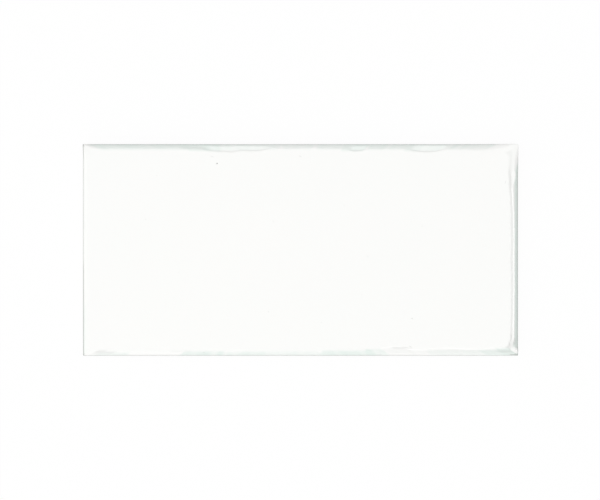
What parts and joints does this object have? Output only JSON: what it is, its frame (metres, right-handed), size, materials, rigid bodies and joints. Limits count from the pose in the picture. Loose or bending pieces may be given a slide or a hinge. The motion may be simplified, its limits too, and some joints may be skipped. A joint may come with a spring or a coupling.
{
  "type": "glazed ceramic wall tile",
  "caption": "Rectangular gloss-glazed ceramic wall tile with a soft uneven cushion edge, drafted sides and a back keyed with rounded pockets for adhesive.",
  "frame": {"origin": "middle of the back, on the plane of the back's ribs, which the tile lies on", "axes": "+X along the tile's length, +Y across its width, +Z out of the glazed face"},
  "size_m": [0.15, 0.073, 0.008],
  "materials": {
    "white_glaze": "gloss white glaze on the face and over its edges, bare cream biscuit on the lower sides and back"
  },
  "bodies": {
    "root": {"wall_tile": "white_glaze"}
  },
  "joints": []
}
